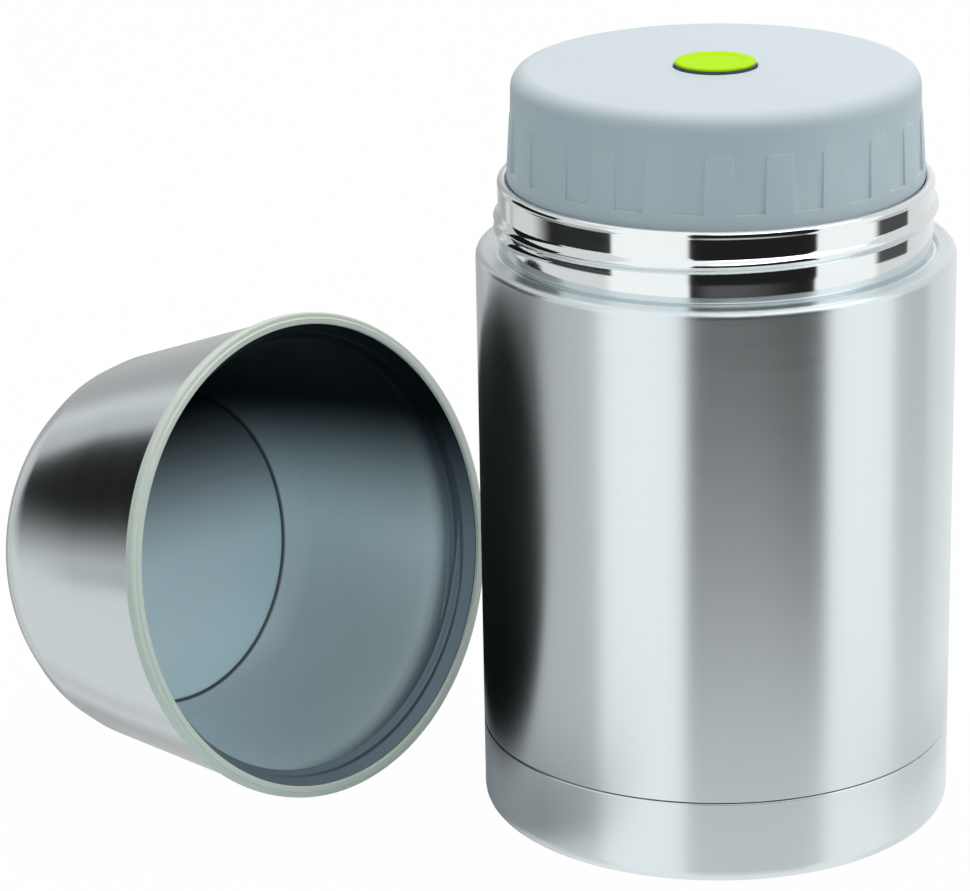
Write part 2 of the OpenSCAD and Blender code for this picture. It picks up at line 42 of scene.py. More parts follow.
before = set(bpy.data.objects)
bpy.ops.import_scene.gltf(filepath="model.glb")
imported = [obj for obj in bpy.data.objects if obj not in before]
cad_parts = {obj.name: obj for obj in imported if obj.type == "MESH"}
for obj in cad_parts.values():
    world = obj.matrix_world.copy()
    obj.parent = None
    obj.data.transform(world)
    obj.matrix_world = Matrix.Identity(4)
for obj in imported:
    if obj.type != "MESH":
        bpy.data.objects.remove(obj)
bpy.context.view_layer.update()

MM = 0.001
FULL_TURN = 360
TURN_STEPS = 192
ARC_STEPS = 6
HOLD = 0.08  # from a rounding to the extra point that keeps the flat beside it flat, in mm
WELD = 1e-6  # vertices closer than this become one, in metres
SMOOTH_ANGLE = math.radians(32)
RIDGE_STEPS = 8
RIDGE_ROOT = 0.3  # how deep a thread's ridge is rooted in its wall, in mm
RIDGE_SINK_ARC = 22  # how long the sinking end of a thread's ridge is, in mm

# Heights and radii in millimetres, as the CAD model has them
WALL_R = round(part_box("outer_shell")[1].x / MM, 2)
SHOULDER_H = round(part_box("outer_shell")[1].z / MM, 2)
SEAM_H = round(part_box("base_cup")[1].z / MM, 2)
MOUTH_H = round(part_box("mouth_collar")[1].z / MM, 2)
SKIRT_H = round(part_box("lid_cap")[0].z / MM, 2)
LID_TOP_H = round(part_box("lid_cap")[1].z / MM, 2)
BUTTON_TOP_H = round(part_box("push_button")[1].z / MM, 2)
TUBE_FOOT_H = round(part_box("lid_plug")[0].z / MM, 2)
SEAT_H = round(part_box("lid_gasket")[0].z / MM, 2)
CARRIER_FOOT_H = round(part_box("button_carrier")[0].z / MM, 2)
# The leads of the two threads, and the radius of the crease inside the cup, in millimetres
STOPPER_LEAD = 12
CUP_LEAD = 4.8
CREASE_R = 35.3

# Where the cup lies, in millimetres, and how it lies, in degrees
CUP_PLACE = (-85.962, 4.881, 52.045)
CUP_TILT = 10.92
CUP_HEADING = 50.5

# In millimetres: a grip rib's half width at its foot and top, the least radius of the lid's
# outer faces, and the radius of its wall and of its ribs at the ribs' top
RIB_FOOT_HALF, RIB_TOP_HALF = 3.0, 2.75
LID_LEAST_R, LID_WALL_R, LID_RIB_R = 42.0, 42.6, 43.2


# Settings


class FoodJarSizes(bpy.types.PropertyGroup):
    """Sizes of the details that the CAD model leaves to the finish."""

    seam_round: bpy.props.FloatProperty(
        name="Seam rounding", description="Radius of the edges at the seam above the base cup",
        default=0.25 * MM, min=0.05 * MM, max=1 * MM, subtype="DISTANCE")
    shoulder_round: bpy.props.FloatProperty(
        name="Shoulder rounding", description="Radius of the shoulder's outer edge",
        default=1.5 * MM, min=0.5 * MM, max=3 * MM, subtype="DISTANCE")
    bead_rise: bpy.props.FloatProperty(
        name="Neck thread", description="How far the neck's thread stands off its wall",
        default=1 * MM, min=0.3 * MM, max=1.2 * MM, subtype="DISTANCE")
    bead_width: bpy.props.FloatProperty(
        name="Neck thread width", description="Width of the neck's thread at its root",
        default=3.3 * MM, min=1.5 * MM, max=4 * MM, subtype="DISTANCE")
    rib_count: bpy.props.IntProperty(
        name="Grip ribs", description="Number of grip ribs round the lid",
        default=22, min=8, max=36)
    rib_rise: bpy.props.FloatProperty(
        name="Rib height", description="How far a grip rib stands off the lid's wall",
        default=0.6 * MM, min=0.2 * MM, max=0.6 * MM, subtype="DISTANCE")
    rib_soften: bpy.props.FloatProperty(
        name="Rib edge", description="Width of the soft edge round each grip rib",
        default=0.22 * MM, min=0.05 * MM, max=0.4 * MM, subtype="DISTANCE")


class FoodJarColours(bpy.types.PropertyGroup):
    """Colours of the jar's plastics and metals."""

    steel: bpy.props.FloatVectorProperty(
        name="Steel", description="Tint of the brushed steel",
        default=(0.78, 0.85, 0.87), min=0, max=1, subtype="COLOR")
    polish: bpy.props.FloatVectorProperty(
        name="Polished steel", description="Tint of the polished neck",
        default=(0.86, 0.90, 0.91), min=0, max=1, subtype="COLOR")
    lid: bpy.props.FloatVectorProperty(
        name="Lid", description="Colour of the lid's plastic",
        default=(0.69, 0.74, 0.78), min=0, max=1, subtype="COLOR")
    stopper: bpy.props.FloatVectorProperty(
        name="Stopper", description="Colour of the stopper's plastic",
        default=(0.80, 0.82, 0.83), min=0, max=1, subtype="COLOR")
    button: bpy.props.FloatVectorProperty(
        name="Button", description="Colour of the push button",
        default=(0.54, 0.905, 0.0), min=0, max=1, subtype="COLOR")
    button_ring: bpy.props.FloatVectorProperty(
        name="Button ring", description="Colour of the ring under the push button",
        default=(0.06, 0.10, 0.13), min=0, max=1, subtype="COLOR")
    rim: bpy.props.FloatVectorProperty(
        name="Cup rim", description="Colour of the cup's rim ring",
        default=(0.86, 0.87, 0.77), min=0, max=1, subtype="COLOR")


# Outlines, as lists of (radius, height) in millimetres


def rounded(corners, closed=True):
    """Turns (radius, height, rounding) corners into points, with an arc at each rounded corner."""
    points = []
    count = len(corners)
    for i, (r, h, rounding) in enumerate(corners):
        here = Vector((r, h))
        if rounding <= 0 or (not closed and i in (0, count - 1)):
            points.append(here)
            continue
        to_before = Vector(corners[i - 1][:2]) - here
        to_after = Vector(corners[(i + 1) % count][:2]) - here
        room = min(to_before.length, to_after.length) / 2
        before, after = to_before.normalized(), to_after.normalized()
        half = before.angle(after) / 2
        reach = min(rounding / math.tan(half), room)
        fitted = reach * math.tan(half)
        mid = here + (before + after).normalized() * fitted / math.sin(half)
        hold = min(HOLD, room - reach)
        if hold > HOLD / 4:
            points.append(here + before * (reach + hold))
        start = here + before * reach - mid
        sweep = math.pi - 2 * half
        side = 1 if before.cross(after) < 0 else -1
        for step in range(ARC_STEPS + 1):
            turn = Matrix.Rotation(side * sweep * step / ARC_STEPS, 2)
            points.append(mid + turn @ start)
        if hold > HOLD / 4:
            points.append(here + after * (reach + hold))
    return points


def finer(points):
    """The same outline with a point added in the middle of each stretch longer than 8 mm."""
    result = [points[0]]
    for here, there in zip(points, points[1:]):
        if (there - here).length > 8:
            result.append((here + there) / 2)
        result.append(there)
    return result


def arc(mid, radius, start, end, steps):
    """Points on an arc round mid, from angle start to end in degrees."""
    turns = [math.radians(start + (end - start) * i / steps) for i in range(steps + 1)]
    return [Vector((mid[0] + radius * math.cos(a), mid[1] + radius * math.sin(a))) for a in turns]


# Modelling steps


def to_object_mode():
    """Leaves edit mode and deselects everything."""
    if bpy.context.mode != "OBJECT":
        bpy.ops.object.mode_set(mode="OBJECT")
    bpy.ops.object.select_all(action="DESELECT")


def pick(obj):
    """Makes obj the only selected object, and the active one."""
    to_object_mode()
    obj.select_set(True)
    bpy.context.view_layer.objects.active = obj


def settle(obj, matrix=None):
    """Puts an object's place into its mesh, and leaves the object at the origin."""
    pick(obj)
    if matrix is not None:
        obj.matrix_world = matrix
    bpy.ops.object.transform_apply(location=True, rotation=True, scale=True)


def start_wire(name, point):
    """Starts a new mesh as one vertex at point, in edit mode."""
    to_object_mode()
    bpy.ops.mesh.primitive_plane_add(size=MM, location=point)
    obj = bpy.context.object
    obj.name = obj.data.name = name
    settle(obj)
    bpy.ops.object.mode_set(mode="EDIT")
    bpy.ops.mesh.select_mode(type="VERT")
    bpy.ops.mesh.select_all(action="SELECT")
    bpy.ops.mesh.merge(type="CENTER")
    return obj


def draw_wire(name, points, closed):
    """Draws an outline in the XZ plane by extruding one vertex from point to point."""
    places = [Vector((p[0], 0, p[1])) * MM for p in points]
    obj = start_wire(name, places[0])
    for here, there in zip(places, places[1:]):
        bpy.ops.mesh.extrude_region_move(TRANSFORM_OT_translate={"value": there - here})
    if closed:
        bpy.ops.mesh.extrude_region_move(TRANSFORM_OT_translate={"value": places[0] - places[-1]})
    bpy.ops.mesh.select_all(action="SELECT")
    bpy.ops.mesh.remove_doubles(threshold=WELD)
    return obj


def weld_and_face_out():
    """Merges doubled vertices and turns all faces outwards, in edit mode."""
    bpy.ops.mesh.select_all(action="SELECT")
    bpy.ops.mesh.remove_doubles(threshold=WELD)
    bpy.ops.mesh.normals_make_consistent(inside=False)


def smooth(obj, angle=SMOOTH_ANGLE):
    """Shades an object smooth, with edges sharper than angle left crisp."""
    pick(obj)
    bpy.ops.object.shade_smooth_by_angle(angle=angle)


def turned(name, points, closed=True, steps=TURN_STEPS):
    """Spins an outline right round the Z axis."""
    obj = draw_wire(name, points, closed)
    bpy.ops.mesh.select_all(action="SELECT")
    bpy.ops.mesh.spin(steps=steps, angle=math.radians(FULL_TURN), center=(0, 0, 0), axis=(0, 0, 1))
    weld_and_face_out()
    smooth(obj)
    return obj


def apply_modifier(obj, kind, **settings):
    """Adds a modifier, sets it and applies it."""
    pick(obj)
    modifier = obj.modifiers.new(kind.title(), kind)
    for key, value in settings.items():
        setattr(modifier, key, value)
    bpy.ops.object.modifier_apply(modifier=modifier.name)


def select_vertices(obj, test):
    """Selects, in edit mode, the vertices whose place passes the test."""
    bpy.ops.mesh.select_mode(type="VERT")
    bpy.ops.mesh.select_all(action="DESELECT")
    mesh = bmesh.from_edit_mesh(obj.data)
    for vertex in mesh.verts:
        vertex.select = test(vertex.co)
    mesh.select_flush(True)
    bmesh.update_edit_mesh(obj.data)


def select_faces(obj, test):
    """Selects, in edit mode, the faces whose centre and normal pass the test."""
    bpy.ops.mesh.select_mode(type="FACE")
    bpy.ops.mesh.select_all(action="DESELECT")
    mesh = bmesh.from_edit_mesh(obj.data)
    for face in mesh.faces:
        face.select = test(face.calc_center_median(), face.normal)
    mesh.select_flush_mode()
    bmesh.update_edit_mesh(obj.data)


def select_edges(obj, test):
    """Selects, in edit mode, the edges whose two ends pass the test."""
    bpy.ops.mesh.select_mode(type="EDGE")
    bpy.ops.mesh.select_all(action="DESELECT")
    mesh = bmesh.from_edit_mesh(obj.data)
    for edge in mesh.edges:
        edge.select = test(*(v.co for v in edge.verts))
    mesh.select_flush_mode()
    bmesh.update_edit_mesh(obj.data)


def ridge(name, wall_r, rise, width, lead, foot, start, sweep):
    """A rounded helical ridge on a wall, whose ends sink smoothly into it.

    It stands out from wall_r by rise, or inwards where rise is negative, and its middle is at
    height foot + lead * bearing / 360. Lengths are in millimetres and angles in degrees.
    """
    way = math.copysign(1, rise)
    sunk = wall_r - way * RIDGE_ROOT
    half = width / 2
    section = [(sunk, -half)]
    for i in range(RIDGE_STEPS + 1):
        t = -1 + 2 * i / RIDGE_STEPS
        section.append((wall_r + rise * (math.cos(math.pi * t) + 1) / 2, half * t))
    section.append((sunk, half))
    obj = draw_wire(name, section, closed=True)
    to_object_mode()
    settle(obj, Matrix.Translation((0, 0, (foot + lead * start / FULL_TURN) * MM))
           @ Matrix.Rotation(math.radians(start), 4, "Z"))
    steps = round(sweep / 3)
    apply_modifier(
        obj, "SCREW", axis="Z", angle=math.radians(sweep), steps=steps, render_steps=steps,
        screw_offset=lead * sweep / FULL_TURN * MM, use_normal_calculate=False,
        use_smooth_shade=True)
    bpy.ops.object.mode_set(mode="EDIT")
    for bearing in (start, start + sweep):
        height = (foot + lead * bearing / FULL_TURN) * MM
        out = Vector((math.cos(math.radians(bearing)), math.sin(math.radians(bearing)), 0))
        along = Vector((-out.y, out.x, 0))

        def at_end(co):
            return (abs(co.dot(along)) < 0.02 * MM and co.dot(out) > 0
                    and abs(co.z - height) < width * MM)

        select_vertices(obj, at_end)
        bpy.ops.mesh.edge_face_add()
        bpy.ops.transform.translate(
            value=-out * (rise + way * RIDGE_ROOT / 2) * MM, use_proportional_edit=True,
            proportional_edit_falloff="SMOOTH", proportional_size=RIDGE_SINK_ARC * MM,
            use_proportional_connected=True)
    weld_and_face_out()
    smooth(obj)
    return obj


def two_starts(name, wall_r, rise, width, lead, foot, sweep):
    """The two ridges of a thread with two starts, half a turn apart."""
    return [
        ridge(f"{name}_{start}", wall_r, rise, width, lead, foot - lead * start / FULL_TURN,
              start, sweep)
        for start in (0, 180)
    ]


def place_in_cup(obj):
    """Lays a piece that was modelled upright, with its rim at zero, where the cup lies."""
    lay = Matrix.Rotation(math.radians(-(90 + CUP_TILT)), 4, "X")
    head = Matrix.Rotation(math.radians(CUP_HEADING), 4, "Z")
    settle(obj, Matrix.Translation(Vector(CUP_PLACE) * MM) @ head @ lay)


def hand_over(obj, body, slot, *nodes, look=None):
    """Gives a finished piece its body and its finish, and hides the CAD nodes that it stands for.

    The finish is the slot's own, or the one that look names.
    """
    to_object_mode()
    obj.data.materials.clear()
    obj.data.materials.append(finish(look or slot))
    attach(obj, body)
    if nodes:
        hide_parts(*nodes)


# Shader formulas


class Wire:
    """A shader socket that Python's operators work on, so that a pattern reads as a formula."""

    def __init__(self, socket):
        self.socket = socket

    def formula(self, operation, *terms):
        """Adds a Math node on these terms."""
        sockets = dict(enumerate(terms))
        settings = {"operation": operation}
        return Wire(add_node(self.socket.id_data, "ShaderNodeMath", settings, sockets).outputs[0])

    def __add__(self, other):
        return self.formula("ADD", self, other)

    __radd__ = __add__

    def __sub__(self, other):
        return self.formula("SUBTRACT", self, other)

    def __rsub__(self, other):
        return self.formula("SUBTRACT", other, self)

    def __mul__(self, other):
        return self.formula("MULTIPLY", self, other)

    __rmul__ = __mul__

    def __truediv__(self, other):
        return self.formula("DIVIDE", self, other)

    def __pow__(self, other):
        return self.formula("POWER", self, other)

    def within(self, low, high):
        """1 above high, 0 below low, and smooth between."""
        tree = self.socket.id_data
        settings = {"interpolation_type": "SMOOTHSTEP"}
        sockets = {"Value": self, "From Min": low, "From Max": high}
        return Wire(add_node(tree, "ShaderNodeMapRange", settings, sockets).outputs["Result"])


def add_node(tree, kind, settings=None, sockets=None):
    """Adds a node, sets it, and fills its sockets with values or links."""
    node = tree.nodes.new(kind)
    settings = dict(settings or {})
    stops = settings.pop("stops", None)
    for key, value in settings.items():
        setattr(node, key, value)
    if stops:
        elements = node.color_ramp.elements
        while len(elements) < len(stops):
            elements.new(1)
        for element, (place, colour) in zip(elements, stops):
            element.position = place
            element.color = (*colour, 1)
    for key, value in (sockets or {}).items():
        socket = node.inputs[key]
        if isinstance(value, Wire):
            tree.links.new(value.socket, socket)
        elif socket.type == "RGBA" and len(value) == 3:
            socket.default_value = (*value, 1)
        else:
            socket.default_value = value
    return node


def cleared(block):
    """The empty node tree of a material or a world."""
    block.use_nodes = True
    block.node_tree.nodes.clear()
    return block.node_tree


def coordinates(tree):
    """The object's own coordinates."""
    return Wire(add_node(tree, "ShaderNodeTexCoord").outputs["Object"])


def new_material(name, **constants):
    """A material with one Principled shader, the shader, and the object's coordinates."""
    material = bpy.data.materials.new(name)
    tree = cleared(material)
    sockets = {key.replace("_", " "): value for key, value in constants.items()}
    shader = add_node(tree, "ShaderNodeBsdfPrincipled", None, sockets)
    add_node(tree, "ShaderNodeOutputMaterial", None, {"Surface": Wire(shader.outputs[0])})
    return material, shader, coordinates(tree)


def feed(shader, **sockets):
    """Links what varies over the surface into the shader."""
    tree = shader.id_data
    for key, wire in sockets.items():
        tree.links.new(wire.socket, shader.inputs[key.replace("_", " ")])


def mapped(place, scale=(1, 1, 1), move=(0, 0, 0), turn=(0, 0, 0), kind="POINT"):
    """Coordinates scaled, turned and moved by a Mapping node."""
    sockets = {"Vector": place, "Location": move, "Rotation": turn, "Scale": scale}
    tree = place.socket.id_data
    return Wire(add_node(tree, "ShaderNodeMapping", {"vector_type": kind}, sockets).outputs[0])


def in_cup(place):
    """Coordinates turned into the lying cup's own frame, with its axis along Z."""
    turn = (math.radians(-(90 + CUP_TILT)), 0, math.radians(CUP_HEADING))
    return mapped(place, move=tuple(c * MM for c in CUP_PLACE), turn=turn, kind="TEXTURE")


def split(place):
    """The three parts of a vector."""
    node = add_node(place.socket.id_data, "ShaderNodeSeparateXYZ", None, {0: place})
    return [Wire(socket) for socket in node.outputs]


def joined(tree, x, y, z):
    """A vector of three parts."""
    return Wire(add_node(tree, "ShaderNodeCombineXYZ", None, {0: x, 1: y, 2: z}).outputs[0])


def noise(vector, scale=1, detail=2, roughness=0.5):
    """Noise from 0 to 1."""
    sockets = {"Vector": vector, "Scale": scale, "Detail": detail, "Roughness": roughness}
    return Wire(add_node(vector.socket.id_data, "ShaderNodeTexNoise", None, sockets).outputs[0])


def blended(share, first, second):
    """A colour between two, by share."""
    sockets = {0: share, 6: first, 7: second}
    node = add_node(share.socket.id_data, "ShaderNodeMix", {"data_type": "RGBA"}, sockets)
    return Wire(node.outputs[2])


def bump(height, depth):
    """A normal from a height pattern, depth metres deep."""
    sockets = {"Strength": 1, "Distance": depth, "Height": height}
    return Wire(add_node(height.socket.id_data, "ShaderNodeBump", None, sockets).outputs[0])


def shade(colour, share):
    """A colour made darker or lighter by share."""
    return tuple(min(1, c * share) for c in colour)


def from_axis(x, y):
    """The distance from the Z axis."""
    return (x * x + y * y) ** 0.5


def turning_marks(place, around, across):
    """Fine marks that run round the Z axis, as a spinning piece gets from a brush or a lathe."""
    x, y, z = split(place)
    along = (z - from_axis(x, y)) * across
    return noise(joined(place.socket.id_data, x * around, y * around, along), 1, 3, 0.6)


# Finishes


def brushed_steel(name, colour, rough, stretch, frame_of=None):
    """Steel brushed round its axis, with fine marks and slightly uneven gloss."""
    material, shader, place = new_material(
        name, Metallic=1.0, Anisotropic=stretch, Anisotropic_Rotation=0.25)
    if frame_of:
        place = frame_of(place)
    fine = turning_marks(place, 260, 5200)
    broad = turning_marks(place, 30, 1100)
    marks = fine.within(0.45, 0.75) * 0.7 + broad * 0.3
    feed(shader,
         Base_Color=blended(marks, shade(colour, 0.985), shade(colour, 1.02)),
         Roughness=rough - 0.03 + 0.06 * broad,
         Normal=bump(marks, 0.0016 * MM))
    return material


def polished_steel(name, colour):
    """Mirror-bright steel with the faint ripples of the lathe."""
    material, shader, place = new_material(name, Metallic=1.0)
    ripple = turning_marks(place, 10, 2600)
    wave = turning_marks(place, 4, 420)
    smears = noise(mapped(place, (60, 60, 240)), 1, 3)
    feed(shader,
         Base_Color=blended(ripple, shade(colour, 0.97), shade(colour, 1.02)),
         Roughness=0.045 + 0.05 * smears,
         Normal=bump(ripple * 0.35 + wave, 0.006 * MM))
    return material


def satin_steel(name, colour, rough, frame_of=None, dim=None):
    """Satin steel inside the flask and the cup, with fine grain and faint turning marks. Where dim
    gives heights, shade is painted into its colour.
    """
    material, shader, place = new_material(name, Metallic=1.0)
    own = frame_of(place) if frame_of else place
    grain = noise(own, 2600, 4, 0.6)
    rings = turning_marks(own, 60, 1600)
    cloud = noise(own, 45, 3)
    tint = blended(cloud, shade(colour, 0.94), shade(colour, 1.05))
    # For the cup's inside only: shade painted into the colour, in its crease, near its rim and
    # upwards
    if dim:
        tint = painted_cup_shade(tint, own, split(place)[2], dim)
    feed(shader,
         Base_Color=tint,
         Roughness=rough + 0.06 * cloud + 0.05 * rings,
         Normal=bump(grain * 0.6 + rings * 0.4, 0.004 * MM))
    return material


def painted_cup_shade(tint, place, height, dim):
    """Paints shade into the cup's colour: a dark line in its crease, darker near its rim, and
    darker upwards over the heights dim, as the cup lies.
    """
    x, y, depth = split(place)
    # Painted shade in the crease: a thin dark line where the wall of the cup's inside meets its
    # floor
    off = from_axis(x, y) - CREASE_R * MM
    off = off.formula("ABSOLUTE", off)
    crease = off.within(0.45 * MM, 0.1 * MM) * depth.within(47 * MM, 47.5 * MM)
    tint = blended(crease * 0.85, tint, (0.03, 0.04, 0.045))
    # Painted shade near the rim: darker over the first 13 mm inside the mouth
    tint = blended(depth.within(13 * MM, 6 * MM), tint, (0.22, 0.27, 0.30))
    # Painted shade by height: darker upwards as the cup lies, between the heights dim, in
    # millimetres
    return blended(height.within(dim[0] * MM, dim[1] * MM), tint, (0.005, 0.008, 0.01))


def moulded_plastic(name, colour, rough, grain_depth, **constants):
    """Moulded plastic with a fine texture, slightly uneven gloss and a trace of handling."""
    material, shader, place = new_material(name, **constants)
    grain = noise(place, 3200, 3, 0.55)
    cloud = noise(place, 38, 3)
    scuffs = noise(mapped(place, (90, 90, 420)), 1, 4, 0.7).within(0.62, 0.8)
    feed(shader,
         Base_Color=blended(cloud, shade(colour, 0.975), shade(colour, 1.02)),
         Roughness=rough - 0.03 + 0.06 * cloud + 0.05 * scuffs,
         Normal=bump(grain, grain_depth))
    return material


def soft_rubber(name, colour, rough):
    """Matt silicone with a dusty bloom."""
    material, shader, place = new_material(name, Specular_IOR_Level=0.35)
    bloom = noise(place, 160, 4, 0.6)
    feed(shader,
         Base_Color=blended(bloom, shade(colour, 0.93), shade(colour, 1.06)),
         Roughness=rough + 0.1 * bloom,
         Normal=bump(noise(place, 2400, 3), 0.01 * MM))
    return material


def foam_cells(name, colour):
    """Fine closed cells of rigid foam."""
    material, shader, place = new_material(name, Roughness=0.9)
    sockets = {"Vector": place, "Scale": 900.0}
    node = add_node(shader.id_data, "ShaderNodeTexVoronoi", None, sockets)
    cells = Wire(node.outputs["Distance"])
    feed(shader,
         Base_Color=blended(cells.within(0.1, 0.7), shade(colour, 1.03), shade(colour, 0.86)),
         Normal=bump(cells, 0.12 * MM))
    return material


def crinkled_foil(name, colour):
    """Thin bright foil with creases."""
    material, shader, place = new_material(name, Metallic=1.0)
    creases = noise(place, 130, 5, 0.65)
    feed(shader,
         Base_Color=blended(creases, shade(colour, 0.95), shade(colour, 1.04)),
         Roughness=0.16 + 0.14 * creases,
         Normal=bump(creases, 0.4 * MM))
    return material


_finishes = {}


def finish(kind):
    """The material of this kind, made once."""
    if kind in _finishes:
        return _finishes[kind]
    group = bpy.context.scene.food_jar_colours
    colours = {name: tuple(getattr(group, name)) for name in group.__annotations__}
    makers = {
        "brushed_steel": lambda: brushed_steel("steel_brushed", colours["steel"], 0.29, 0.8),
        "cup_steel": lambda: brushed_steel("steel_cup", colours["steel"], 0.18, 0.0, in_cup),
        "polished_steel": lambda: polished_steel("steel_polished", colours["polish"]),
        "inner_steel": lambda: satin_steel("steel_satin", shade(colours["steel"], 0.85), 0.30),
        # The cup's inside has shade painted into its colour, darker upwards between 36 and 73 mm as
        # the cup lies
        "cup_inner": lambda: satin_steel(
            "steel_cup_inside", (0.87, 0.98, 1.0), 0.56, in_cup, (36, 73)),
        "foil": lambda: crinkled_foil("foil_bright", (0.80, 0.81, 0.83)),
        "lid_plastic": lambda: moulded_plastic("plastic_lid", colours["lid"], 0.42, 0.006 * MM),
        "plug_plastic": lambda: moulded_plastic(
            "plastic_stopper", colours["stopper"], 0.38, 0.006 * MM),
        "foam": lambda: foam_cells("foam_white", (0.86, 0.85, 0.80)),
        "gasket": lambda: soft_rubber("silicone_clear", (0.74, 0.77, 0.77), 0.42),
        "button_lime": lambda: moulded_plastic(
            "plastic_button", colours["button"], 0.45, 0.003 * MM, Specular_IOR_Level=0.04),
        "button_slate": lambda: moulded_plastic(
            "plastic_button_ring", colours["button_ring"], 0.35, 0.004 * MM),
        "valve_rubber": lambda: soft_rubber("silicone_dark", (0.06, 0.07, 0.08), 0.5),
        "ring_plastic": lambda: moulded_plastic(
            "plastic_rim", colours["rim"], 0.26, 0.003 * MM),
    }
    _finishes[kind] = makers[kind]()
    return _finishes[kind]


def dress_node(node, kind):
    """Gives a CAD node that stays in view a finish of its own."""
    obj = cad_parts[node]
    if not obj.material_slots:
        obj.data.materials.append(finish(kind))
    for slot in obj.material_slots:
        slot.material = finish(kind)


# Pieces of the jar


class FOODJAR_OT_wall(bpy.types.Operator):
    """The jar's outer wall with its rounded shoulder and the joggle that holds the base cup"""

    bl_idname = "food_jar.wall"
    bl_label = "Jar wall"

    def execute(self, context):
        sizes = context.scene.food_jar_sizes
        seam_round, shoulder_round = sizes.seam_round / MM, sizes.shoulder_round / MM
        sheet, joggle, ledge = 0.8, 0.9, 46.0
        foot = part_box("outer_shell")[0].z / MM
        in_r = WALL_R - sheet
        outline = rounded([
            (WALL_R - joggle, foot, 0),
            (WALL_R - joggle, SEAM_H, 0.1),
            (WALL_R, SEAM_H + 0.35, seam_round),
            (WALL_R, SHOULDER_H, shoulder_round),
            (ledge, SHOULDER_H, 0.35),
            (ledge, SHOULDER_H - sheet, 0),
            (in_r, SHOULDER_H - sheet, 0.7),
            (in_r, SEAM_H + sheet, 0),
            (in_r - joggle, SEAM_H + sheet / 2, 0),
            (in_r - joggle, foot, 0),
        ])
        wall = turned("jar_wall", outline)
        hand_over(wall, "jar", "brushed_steel", "outer_shell")
        return {"FINISHED"}


class FOODJAR_OT_foot(bpy.types.Operator):
    """The base cup below the seam, with its rounded heel and the ring that the jar stands on"""

    bl_idname = "food_jar.foot"
    bl_label = "Base cup"

    def execute(self, context):
        seam_round = context.scene.food_jar_sizes.seam_round / MM
        sheet, heel, lift, recess = 0.8, 3.0, 1.2, 38.0
        in_r = WALL_R - sheet
        outline = rounded([
            (0, lift, 0),
            (recess - lift, lift, 0.8),
            (recess, 0, 0.8),
            (WALL_R, 0, heel),
            (WALL_R, SEAM_H, seam_round),
            (in_r, SEAM_H, 0.1),
            (in_r, sheet, heel - sheet),
            (recess + sheet / 2, sheet, 0),
            (recess - lift + sheet / 2, lift + sheet, 0),
            (0, lift + sheet, 0),
        ], closed=False)
        foot = turned("jar_base", outline, closed=False)
        hand_over(foot, "jar", "brushed_steel", "base_cup")
        return {"FINISHED"}


class FOODJAR_OT_neck(bpy.types.Operator):
    """The polished neck with its rolled lip, its flange and the thread for the cup"""

    bl_idname = "food_jar.neck"
    bl_label = "Neck"

    def execute(self, context):
        sizes = context.scene.food_jar_sizes
        neck_r, sheet, flange_r = 45.2, 0.8, 47.5
        lip_r, lip_mid = 1.1, (44.2, MOUTH_H - 1.1)
        flange_h, lean = SHOULDER_H - sheet, 0.3
        out_turn = -math.degrees(math.acos((neck_r - lip_mid[0]) / lip_r))
        in_turn = FULL_TURN - math.degrees(math.acos((neck_r - sheet - lip_mid[0]) / lip_r))
        lip_foot = lip_mid[1] + lip_r * math.sin(math.radians(out_turn))
        outline = rounded([
            (neck_r - sheet, flange_h - sheet, 0),
            (flange_r, flange_h - sheet, 0),
            (flange_r, flange_h, 0),
            (neck_r - lean, flange_h, 0.45),
            (neck_r - lean * 0.9, flange_h + 0.8, 0),
            (neck_r - lean * 0.1, flange_h + 4.8, 0),
            (neck_r, flange_h + 5.3, 0),
            (neck_r, flange_h + 5.7, 0),
            (neck_r, lip_foot - 0.3, 0),
            (neck_r, lip_foot - 0.05, 0),
        ], closed=False) + arc(lip_mid, lip_r, out_turn, in_turn, 28)
        neck = turned("jar_neck", outline)
        hand_over(neck, "jar", "polished_steel", "mouth_collar")
        middle = SHOULDER_H + 4.5
        for name, start, sweep, drop in (("neck_thread_upper", 150, 260, 0),
                                         ("neck_thread_lower", 10, 220, CUP_LEAD / 2)):
            bead = ridge(name, neck_r, sizes.bead_rise / MM, sizes.bead_width / MM, CUP_LEAD,
                         middle - drop, start, sweep)
            hand_over(bead, "jar", "polished_steel")
        return {"FINISHED"}


class FOODJAR_OT_flask(bpy.types.Operator):
    """The inner flask with its waist, the stopper's seat and the stopper's inner thread"""

    bl_idname = "food_jar.flask"
    bl_label = "Inner flask"

    def execute(self, context):
        sheet, bore, waist, belly = 0.6, 43.1, 41.0, 45.9
        floor, top = 13.4, MOUTH_H - 2.3
        waist_top = SEAT_H - 0.3 * math.sqrt(2)
        waist_foot = waist_top - 1
        shoulder = waist_foot - (belly - waist)
        step = sheet * math.tan(math.radians(22.5))
        outline = rounded([
            (0, floor, 0),
            (belly, floor, 12),
            (belly, shoulder, 2.1),
            (waist, waist_foot, 0.4),
            (waist, waist_top, 0.4),
            (bore, waist_top + bore - waist, 0.5),
            (bore, top, 0),
            (bore + sheet, top, 0),
            (bore + sheet, waist_top + bore - waist - step, 0),
            (waist + sheet, waist_top - step, 0),
            (waist + sheet, waist_foot + step, 0),
            (belly + sheet, shoulder + step, 2.7),
            (belly + sheet, floor - sheet, 12.6),
            (0, floor - sheet, 0),
        ], closed=False)
        flask = turned("flask", outline, closed=False)
        hand_over(flask, "jar", "inner_steel", "inner_flask")
        for bead in two_starts("flask_thread", bore, -0.8, 2.4, STOPPER_LEAD, TUBE_FOOT_H + 6, 200):
            hand_over(bead, "jar", "inner_steel")
        return {"FINISHED"}


# Pieces of the lid


